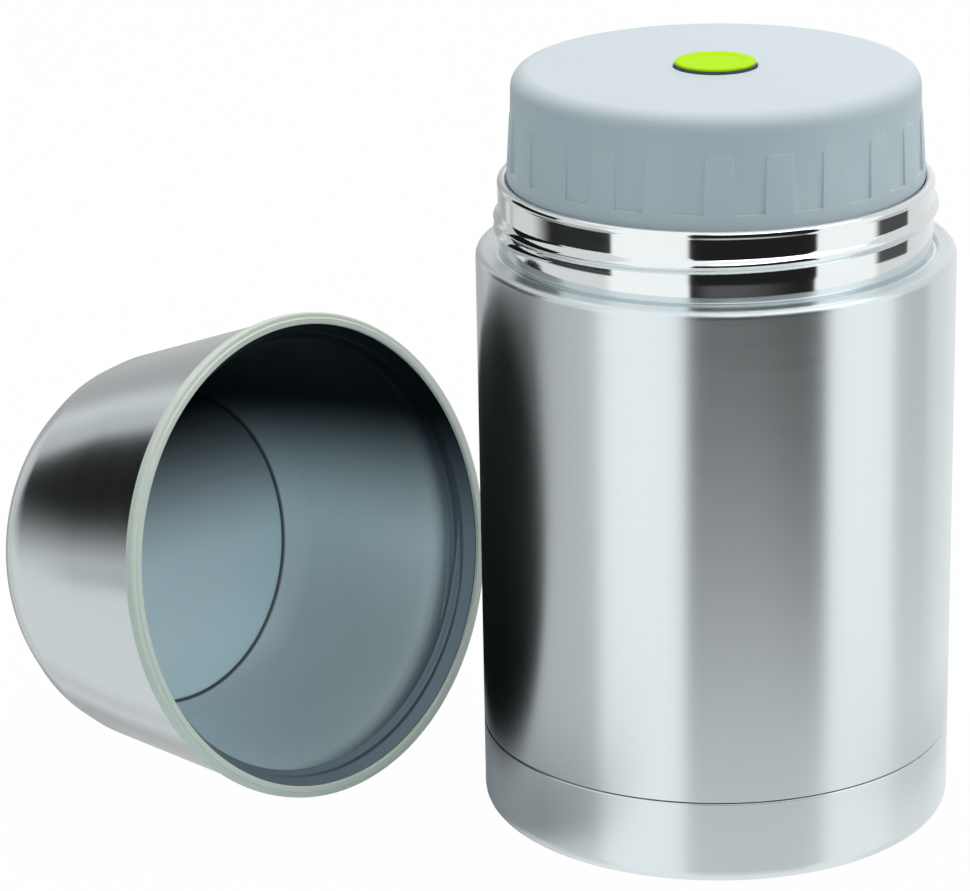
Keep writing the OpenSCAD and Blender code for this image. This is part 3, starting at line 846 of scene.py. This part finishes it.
class FOODJAR_OT_lid(bpy.types.Operator):
    """The moulded lid: one sector with its grip rib, copied round, with soft edges"""

    bl_idname = "food_jar.lid"
    bl_label = "Lid"

    def execute(self, context):
        sizes = context.scene.food_jar_sizes
        rise = sizes.rib_rise / MM
        band_h, rib_top = SKIRT_H + 2.4, SKIRT_H + 14.1
        wall_foot, wall_top, edge_h, edge_r = 42.7, 42.1, LID_TOP_H - 0.2, 3.7
        collar, hole, guide = 41.4, 8.65, 9.95
        roof, guide_foot = edge_h - 2, CARRIER_FOOT_H - 0.75
        outline = rounded([
            (collar, SKIRT_H, 0),
            (wall_foot, SKIRT_H - 0.6, 0),
            (wall_top, edge_h, edge_r),
            (hole, LID_TOP_H, 0.45),
            (hole, guide_foot, 0),
            (guide, guide_foot, 0),
            (guide, roof, 0),
            (collar, roof, 1.7),
        ])
        sector = FULL_TURN / sizes.rib_count
        lid = draw_wire("lid_shell", outline, closed=True)
        to_object_mode()
        settle(lid, Matrix.Rotation(math.radians(-90 + sector / 2), 4, "Z"))
        bpy.ops.object.mode_set(mode="EDIT")
        bpy.ops.mesh.select_all(action="SELECT")
        bpy.ops.mesh.spin(steps=8, angle=math.radians(sector), center=(0, 0, 0), axis=(0, 0, 1))
        weld_and_face_out()
        self.cut_rib(lid, band_h, rib_top, rise)
        self.open_sides(lid, sector)
        self.round_rib(lid, rib_top)
        lid = self.repeat(lid, sector, sizes.rib_count)
        apply_modifier(lid, "BEVEL", width=sizes.rib_soften, segments=3, limit_method="ANGLE",
                       angle_limit=math.radians(40), harden_normals=False)
        smooth(lid, math.radians(50))
        settle(lid, Matrix.Rotation(math.radians(1), 4, "Z"))
        hand_over(lid, "lid", "lid_plastic", "lid_cap")
        return {"FINISHED"}

    def cut_rib(self, lid, band_h, rib_top, rise):
        """Cuts the rib's outline into the sector's wall and raises the rib and the band."""
        lean = (RIB_FOOT_HALF - RIB_TOP_HALF) / (rib_top - SKIRT_H)
        for height in (band_h, rib_top):
            bpy.ops.mesh.select_all(action="SELECT")
            bpy.ops.mesh.bisect(plane_co=(0, 0, height * MM), plane_no=(0, 0, 1))
        for side in (-1, 1):
            bpy.ops.mesh.select_all(action="SELECT")
            bpy.ops.mesh.bisect(plane_co=(side * RIB_FOOT_HALF * MM, 0, SKIRT_H * MM),
                                plane_no=(side, 0, lean))

        def on_rib(centre, normal):
            x, z = abs(centre.x) / MM, centre.z / MM
            upright = abs(normal.z) < 0.5
            outside = math.hypot(centre.x, centre.y) > LID_LEAST_R * MM
            side = RIB_FOOT_HALF - lean * (z - SKIRT_H)
            return upright and outside and (z < band_h or (z < rib_top and x < side))

        select_faces(lid, on_rib)
        bpy.ops.mesh.extrude_region_shrink_fatten(
            TRANSFORM_OT_shrink_fatten={"value": rise * MM, "use_even_offset": True})

        def on_top_edge(co):
            raised = math.hypot(co.x, co.y) > (LID_WALL_R + rise / 2) * MM
            return raised and abs(co.z / MM - rib_top) < 0.05

        select_vertices(lid, on_top_edge)
        share = 1 - rise * 0.7 / LID_RIB_R
        bpy.ops.transform.resize(value=(share, share, 1), center_override=(0, 0, 0))

    def open_sides(self, lid, sector):
        """Removes the faces that closed the sector's two sides when its band was raised."""
        def on_side(centre, normal):
            bearing = math.degrees(math.atan2(centre.x, -centre.y))
            along = Vector((math.cos(math.radians(bearing)), math.sin(math.radians(bearing)), 0))
            return abs(abs(bearing) - sector / 2) < 0.05 and abs(normal.dot(along)) > 0.9

        select_faces(lid, on_side)
        bpy.ops.mesh.delete(type="FACE")

    def round_rib(self, lid, rib_top):
        """Rounds the rib's two upper corners."""
        def on_corner(a, b):
            level = abs(a.z - b.z) < 0.05 * MM and abs(a.z / MM - rib_top) < 0.05
            short = 0.15 * MM < (a - b).length < 0.5 * MM
            across = abs(a.to_2d().length - b.to_2d().length) > 0.15 * MM
            return level and short and across and abs(abs(a.x) / MM - RIB_TOP_HALF) < 0.15

        select_edges(lid, on_corner)
        bpy.ops.mesh.bevel(offset=0.8 * MM, segments=4, affect="EDGES")

    def repeat(self, lid, sector, count):
        """Copies the sector right round and welds the copies into one piece."""
        to_object_mode()
        copies = [lid]
        for i in range(1, count):
            copy = lid.copy()
            copy.data = lid.data.copy()
            bpy.context.scene.collection.objects.link(copy)
            settle(copy, Matrix.Rotation(math.radians(sector * i), 4, "Z"))
            copies.append(copy)
        to_object_mode()
        for copy in copies:
            copy.select_set(True)
        bpy.context.view_layer.objects.active = lid
        bpy.ops.object.join()
        bpy.ops.object.mode_set(mode="EDIT")
        weld_and_face_out()
        to_object_mode()
        return lid


class FOODJAR_OT_stopper(bpy.types.Operator):
    """The stopper below the lid: its threaded tube, its bottom disc and its gasket"""

    bl_idname = "food_jar.stopper"
    bl_label = "Stopper"

    def execute(self, context):
        tube_r, tube_in, foot, collar_r = 42.0, 40.0, TUBE_FOOT_H, 41.3
        tube = turned("stopper_tube", rounded([
            (tube_in, foot, 0),
            (tube_r, foot, 0.25),
            (tube_r, SKIRT_H, 0),
            (collar_r, SKIRT_H, 0),
            (collar_r, SKIRT_H + 5, 0.3),
            (tube_in, SKIRT_H + 5, 0),
        ]))
        hand_over(tube, "lid", "plug_plastic", "lid_plug")
        for bead in two_starts("stopper_thread", tube_r, 0.8, 2.4, STOPPER_LEAD, foot + 3, 200):
            hand_over(bead, "lid", "plug_plastic")
        rim, seat, seat_h, spigot = 40.4, 38.5, SEAT_H, 39.9
        disc_foot, disc_top, boss_top = seat_h - 1.2, seat_h + 1.5, CARRIER_FOOT_H - 10
        disc = turned("stopper_disc", rounded([
            (2.3, disc_foot, 0.2),
            (rim, disc_foot, 0.5),
            (rim, seat_h, 0.15),
            (seat, seat_h, 0),
            (seat, foot, 0),
            (spigot, foot, 0),
            (spigot, foot + 3, 0.3),
            (seat - 1.6, foot + 3, 0.3),
            (seat - 1.6, disc_top, 0.5),
            (5.3, disc_top, 0.5),
            (5.3, boss_top, 0.3),
            (2.3, boss_top, 0.2),
        ]))
        hand_over(disc, "lid", "plug_plastic", "plug_bottom")
        gasket = turned("stopper_gasket", rounded([
            (38.8, seat_h, 0.2),
            (41.0, seat_h, 0.3),
            (42.0, seat_h + 1, 0.5),
            (42.0, seat_h + 2.7, 0.6),
            (38.8, seat_h + 2.7, 0.2),
        ]))
        hand_over(gasket, "lid_seal", "gasket", "lid_gasket")
        return {"FINISHED"}


class FOODJAR_OT_button(bpy.types.Operator):
    """The push button: its dished cap and the dark carrier whose edge shows below it"""

    bl_idname = "food_jar.button"
    bl_label = "Push button"

    def execute(self, context):
        outer, ring_top, dish, depth = 8.35, LID_TOP_H + 0.5, 6.0, 0.17
        top, foot, floor = BUTTON_TOP_H, CARRIER_FOOT_H, CARRIER_FOOT_H + 2
        cap = turned("button_cap", rounded([
            (0, top - depth, 0),
            (dish - 0.5, top - depth, 0.8),
            (dish + 0.35, top, 0.5),
            (outer, top, 0.35),
            (outer, ring_top, 0.1),
            (6.95, ring_top, 0),
            (6.95, floor + 1.5, 0),
            (5.65, floor + 1.5, 0),
            (5.65, top - 1.3, 0),
            (0, top - 1.3, 0),
        ], closed=False), closed=False, steps=96)
        hand_over(cap, "button", "button_lime", "push_button")
        carrier = turned("button_carrier_ring", rounded([
            (2.1, foot, 0),
            (outer, foot, 0.4),
            (outer, ring_top, 0.12),
            (outer - 1.3, ring_top, 0),
            (outer - 1.3, floor, 0.3),
            (2.1, floor, 0),
        ]), steps=96)
        hand_over(carrier, "button", "button_slate", "button_carrier")
        return {"FINISHED"}


# Pieces of the cup


class FOODJAR_OT_cup(bpy.types.Operator):
    """The lying cup: its brushed dome, its satin inside with the thread, and its rim ring"""

    bl_idname = "food_jar.cup"
    bl_label = "Cup"

    def execute(self, context):
        rim_r, end_r, height, ring_h, sheet, corner = 51.79, 40.29, 67.48, 3.0, 0.7, 26.5
        slope = (rim_r - end_r) / (height - ring_h)
        level = sheet * math.hypot(1, slope)
        dome = turned("cup_dome", finer(rounded([
            (rim_r, ring_h, 0),
            (end_r, height, corner),
            (0, height, 0),
        ], closed=False)) + finer(rounded([
            (0, height - sheet, 0),
            (end_r - level + slope * sheet, height - sheet, corner - sheet),
            (rim_r - level, ring_h, 0),
        ], closed=False)))
        place_in_cup(dome)
        hand_over(dome, "cup", "brushed_steel", "cup_shell", look="cup_steel")
        self.inside()
        ring = turned("cup_rim", rounded([
            (50.1, 0, 0.25),
            (51.35, 0, 0.25),
            (51.5, 0.35, 0.1),
            (52.6, 0.45, 0.5),
            (52.6, ring_h, 1.0),
            (50.6, ring_h, 0),
            (50.6, 1.0, 0),
            (50.1, 1.0, 0.2),
        ]))
        place_in_cup(ring)
        hand_over(ring, "cup", "ring_plastic", "cup_ring")
        return {"FINISHED"}

    def inside(self):
        """The liner with its two thread ridges."""
        sheet, neck_r, depth, flare = 0.6, 48.3, 49.0, 50.1
        bowl = [(48.2, 9.5), (47.0, 14.0), (45.4, 21.0), (43.4, 29.0), (40.9, 37.0), (38.6, 43.0)]
        liner = turned("cup_inside", rounded([
            (flare, 1.1, 0),
            (neck_r, 3.0, 0.8),
            *((r, h, 6.0) for r, h in bowl),
            (CREASE_R + 0.1, depth - 0.15, 0),
            (CREASE_R - 0.2, depth + 0.1, 0),
            (CREASE_R - 0.5, depth - 0.1, 0),
            (0, depth, 0),
        ], closed=False) + rounded([
            (0, depth + sheet, 0),
            (CREASE_R + sheet / 2, depth + sheet, 0),
            *((r + sheet, h + sheet / 3, 6.0) for r, h in reversed(bowl)),
            (neck_r + sheet, 3.0 + sheet / 2, 0),
            (flare + sheet, 1.1 + sheet / 2, 0),
            (flare + sheet, 1.1, 0),
        ], closed=False))
        place_in_cup(liner)
        hand_over(liner, "cup", "inner_steel", "cup_liner", look="cup_inner")
        for bead in two_starts("cup_thread", neck_r, -1.3, 2.2, CUP_LEAD, 4.4, 220):
            place_in_cup(bead)
            hand_over(bead, "cup", "inner_steel", look="cup_inner")


class FOODJAR_OT_inner_parts(bpy.types.Operator):
    """Finishes for the CAD parts that stay as they are, inside the jar and the lid"""

    bl_idname = "food_jar.inner_parts"
    bl_label = "Inner parts"

    def execute(self, context):
        for node, kind in (
            ("radiation_foil", "foil"), ("vacuum_base", "inner_steel"),
            ("getter", "polished_steel"), ("evacuation_seal", "polished_steel"),
            ("base_spacer", "foam"), ("lid_foam", "foam"),
            ("valve_stem", "polished_steel"), ("valve_spring", "polished_steel"),
            ("valve_seal", "valve_rubber"), ("stem_clip", "polished_steel"),
        ):
            dress_node(node, kind)
        return {"FINISHED"}


# The stage


# Bearings from the front towards +X, in degrees, and how bright the studio is there
STUDIO_BANDS = (
    (-180, 0.7), (-152, 0.42), (-146, 0.42), (-140, 0.75), (-134, 0.5), (-129, 0.72),
    (-100, 0.72), (-60, 0.74), (-56, 1.0), (92, 1.0), (96, 0.74), (130, 0.76), (160, 0.88),
    (180, 0.85),
)
# Dark cards: bearings from and to in degrees, heights from and to in metres, how dark they are,
# and how softly they begin at their foot, in metres, and at their left, in degrees. Where the
# darkness is negative, the card is brighter than the studio.
DARK_CARDS = (
    (-13.5, 53.5, -2.0, 1.5, 0.985, 0.02, 1),
    (-103, -55, -0.335, -0.2, 0.98, 0.02, 9),
    (-129, -88, -0.1, 0.8, 0.99, 0.24, 1),
    (92, 119, -0.335, -0.2, 0.9, 0.02, 3),
    (-100, -57, -2.0, -0.55, 0.38, 0.02, 4),
    (96, 140, -2.0, -0.62, 0.3, 0.02, 2),
    (0, 100, 1.4, 2.1, -2.0, 0.1, 8),
)
CARD_RING_R = 1.5
CARD_OFF = 0.4 * MM  # how far a disc card is below zero, so that it doesn't touch what is there

# Where the photograph was taken from, in metres, and how the camera is turned, in degrees
CAMERA_PLACE = (0, -0.78985, 0.34946)
CAMERA_HEADING, CAMERA_DROP, CAMERA_ROLL = 3.54, 18.88, -1.12


def studio_cards(tree):
    """The light and dark cards round the stage, as steel sees them."""
    x, y, z = split(coordinates(tree))
    bearing = x.formula("ARCTAN2", x, 0 - y) * math.degrees(1)
    stops = [((angle + 180) / FULL_TURN, (level,) * 3) for angle, level in STUDIO_BANDS]
    share = (bearing + 180) / FULL_TURN
    level = Wire(add_node(tree, "ShaderNodeValToRGB", {"stops": stops}, {0: share}).outputs[0])
    jags = 5 * noise(joined(tree, 0, 0, z * 90), 1, 4, 0.8) - 2.5  # ragged edges, in degrees
    for left, right, low, high, darkness, foot_soft, left_soft in DARK_CARDS:
        torn = bearing + jags * (1 + 0.5 * left_soft)
        across = torn.within(left - left_soft, left + left_soft)
        across = across * bearing.within(right + 1, right - 1)
        up = z.within(low - foot_soft, low + foot_soft) * z.within(high + 0.03, high - 0.03)
        level = level * (1 - across * up * darkness)
    return level


def foot_shadow(tree):
    """How deep the shadow is on the table, close beside the jar's foot."""
    x, y = split(coordinates(tree))[:2]
    distance = from_axis(x, y)
    left = distance.within(0.15, 0.07) * x.within(-0.035, -0.05)
    return left + 0.4 * distance.within(0.11, 0.08) * x.within(0.058, 0.08)


def table_glow(tree):
    """How strongly the pale table shows in steel: near the jar most, and not at all further off."""
    x, y = split(coordinates(tree))[:2]
    distance = from_axis(x, y)
    glow = 0.72 * distance.within(0.40, 0.12) * x.within(-0.08, 0.0) * x.within(0.25, 0.06)
    return glow + 0.6 * foot_shadow(tree) * (1 - glow)


def outer_side(tree):
    """1 on the side of a card that faces the jar, and 0 on its other side."""
    return Wire(add_node(tree, "ShaderNodeNewGeometry").outputs["Backfacing"])


class FOODJAR_OT_stage(bpy.types.Operator):
    """The floor, the studio's cards and lamps, the background and the camera"""

    bl_idname = "food_jar.stage"
    bl_label = "Stage"

    def execute(self, context):
        self.floor()
        self.cards()
        self.lamps()
        self.background(context)
        self.camera(context)
        context.scene.view_settings.view_transform = "Standard"
        return {"FINISHED"}

    def floor(self):
        """A pale floor that keeps a faint shadow, with the cards of the table and the cup's mouth.

        The mouth's card is painted shade: dark towards the jar, it stands in the jar's steel for
        the cup's shaded mouth; towards the cup it is a faint painted glow that brightens the cup's
        inside.
        """
        to_object_mode()
        bpy.ops.mesh.primitive_plane_add(size=14, location=(0, 0, -0.2 * MM))
        floor = bpy.context.object
        floor.name = "floor"
        material = bpy.data.materials.new("floor_white")
        tree = cleared(material)
        plain = add_node(tree, "ShaderNodeBsdfDiffuse", None, {"Color": (0.60, 0.75, 0.76, 1)})
        bright = add_node(
            tree, "ShaderNodeEmission", None, {"Color": (1, 1, 1, 1), "Strength": 1.0})
        seen = Wire(add_node(tree, "ShaderNodeLightPath").outputs["Is Camera Ray"])
        sockets = {0: seen * 0.985, 1: Wire(plain.outputs[0]), 2: Wire(bright.outputs[0])}
        mix = add_node(tree, "ShaderNodeMixShader", None, sockets)
        add_node(tree, "ShaderNodeOutputMaterial", None, {"Surface": Wire(mix.outputs[0])})
        floor.data.materials.append(material)
        floor.visible_glossy = False
        table = self.disc("table_glow", radius=0.4)
        self.glossy_only(
            table, lambda tree: blended(foot_shadow(tree), (0.92, 0.92, 0.92), (0.10, 0.12, 0.14)),
            table_glow)
        # Painted shade and painted light: a dark disc over the cup's mouth as the jar's steel sees
        # it, glowing faintly on its inner side
        flag = self.disc("dark_flag", radius=52.6 * MM)
        settle(flag)
        place_in_cup(flag)
        self.glossy_only(
            flag, lambda tree: blended(outer_side(tree), (0.68, 0.86, 1.0), (0.002, 0.003, 0.003)),
            lambda tree: outer_side(tree) * 0.7 + 0.3)
        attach(flag, "cup")

    def disc(self, name, radius):
        """A flat disc round the Z axis, just below zero."""
        bpy.ops.mesh.primitive_circle_add(
            vertices=64, radius=radius, fill_type="NGON", location=(0, 0, -CARD_OFF))
        bpy.context.object.name = name
        return bpy.context.object

    def cards(self):
        """A ring of cards far off, seen only by shiny surfaces."""
        bpy.ops.mesh.primitive_cylinder_add(
            vertices=64, radius=CARD_RING_R, depth=4, end_fill_type="NOTHING", location=(0, 0, 0))
        ring = bpy.context.object
        ring.name = "studio_cards"
        self.glossy_only(ring, studio_cards)

    def glossy_only(self, obj, colour_of, share_of=None):
        """Makes obj a glowing card that only gloss sees, and clear where its share is low."""
        material = bpy.data.materials.new(obj.name)
        tree = cleared(material)
        shown = add_node(
            tree, "ShaderNodeEmission", None, {"Color": colour_of(tree), "Strength": 1.0})
        if share_of:
            clear = add_node(tree, "ShaderNodeBsdfTransparent")
            sockets = {0: share_of(tree), 1: Wire(clear.outputs[0]), 2: Wire(shown.outputs[0])}
            shown = add_node(tree, "ShaderNodeMixShader", None, sockets)
        add_node(tree, "ShaderNodeOutputMaterial", None, {"Surface": Wire(shown.outputs[0])})
        obj.data.materials.append(material)
        obj.visible_camera = obj.visible_diffuse = obj.visible_shadow = False
        obj.visible_transmission = obj.visible_volume_scatter = False

    def lamps(self):
        """One large soft lamp overhead and one to the right, aimed at the jar's middle."""
        aim = Vector((0, 0, 0.08))
        for name, place, size, power in (
            ("lamp_top", (0.1, 0.35, 1.5), 1.3, 15.0),
            ("lamp_right", (1.3, -0.5, 0.9), 0.9, 3.0),
        ):
            light = bpy.data.lights.new(name, "AREA")
            light.size = size
            light.energy = power
            lamp = bpy.data.objects.new(name, light)
            lamp.location = place
            lamp.rotation_euler = (Vector(place) - aim).to_track_quat("Z", "Y").to_euler()
            bpy.context.scene.collection.objects.link(lamp)
            lamp.visible_glossy = False

    def background(self, context):
        """White where the camera or gloss sees the background, and a soft even sky as light."""
        world = bpy.data.worlds.new("studio")
        context.scene.world = world
        tree = cleared(world)
        path = add_node(tree, "ShaderNodeLightPath").outputs
        shown = Wire(path["Is Camera Ray"]) + Wire(path["Is Glossy Ray"])
        shown = shown + Wire(path["Is Transmission Ray"])
        shown = shown.formula("MINIMUM", shown, 1)
        colour = blended(shown, (0.31, 0.36, 0.37), (1, 1, 1))
        sky = add_node(tree, "ShaderNodeBackground", None, {"Color": colour, "Strength": 1.0})
        add_node(tree, "ShaderNodeOutputWorld", None, {"Surface": Wire(sky.outputs[0])})

    def camera(self, context):
        """The camera, where the photograph was taken from."""
        data = bpy.data.cameras.new("camera")
        data.sensor_fit = "HORIZONTAL"
        data.sensor_width = 36
        data.lens = 145.97
        data.clip_start = 0.05
        data.clip_end = 50
        camera = bpy.data.objects.new("camera", data)
        context.scene.collection.objects.link(camera)
        camera.matrix_world = (
            Matrix.Translation(CAMERA_PLACE)
            @ Matrix.Rotation(math.radians(CAMERA_HEADING), 4, "Z")
            @ Matrix.Rotation(math.radians(90 - CAMERA_DROP), 4, "X")
            @ Matrix.Rotation(math.radians(CAMERA_ROLL), 4, "Z"))
        context.scene.camera = camera


class FOODJAR_PT_pieces(bpy.types.Panel):
    """Lists the jar's pieces, sizes and colours"""

    bl_idname = "FOODJAR_PT_pieces"
    bl_label = "Food jar"
    bl_space_type = "VIEW_3D"
    bl_region_type = "UI"
    bl_category = "Food jar"

    def draw(self, context):
        layout = self.layout
        for operator in OPERATORS:
            layout.operator(operator.bl_idname, text=operator.bl_label)
        for group in (context.scene.food_jar_sizes, context.scene.food_jar_colours):
            box = layout.box()
            for name in group.__annotations__:
                box.prop(group, name)


OPERATORS = (
    FOODJAR_OT_wall, FOODJAR_OT_foot, FOODJAR_OT_neck, FOODJAR_OT_flask, FOODJAR_OT_lid,
    FOODJAR_OT_stopper, FOODJAR_OT_button, FOODJAR_OT_cup, FOODJAR_OT_inner_parts, FOODJAR_OT_stage,
)
CLASSES = (FoodJarSizes, FoodJarColours, *OPERATORS, FOODJAR_PT_pieces)


def register():
    """Registers the classes and the settings on the scene."""
    for cls in CLASSES:
        bpy.utils.register_class(cls)
    bpy.types.Scene.food_jar_sizes = bpy.props.PointerProperty(type=FoodJarSizes)
    bpy.types.Scene.food_jar_colours = bpy.props.PointerProperty(type=FoodJarColours)


def unregister():
    """Removes the settings and the classes."""
    del bpy.types.Scene.food_jar_colours
    del bpy.types.Scene.food_jar_sizes
    for cls in reversed(CLASSES):
        bpy.utils.unregister_class(cls)


def main():
    """Builds every piece and the stage."""
    register()
    bpy.ops.food_jar.wall()
    bpy.ops.food_jar.foot()
    bpy.ops.food_jar.neck()
    bpy.ops.food_jar.flask()
    bpy.ops.food_jar.lid()
    bpy.ops.food_jar.stopper()
    bpy.ops.food_jar.button()
    bpy.ops.food_jar.cup()
    bpy.ops.food_jar.inner_parts()
    bpy.ops.food_jar.stage()
    to_object_mode()


if __name__ == "__main__":
    main()
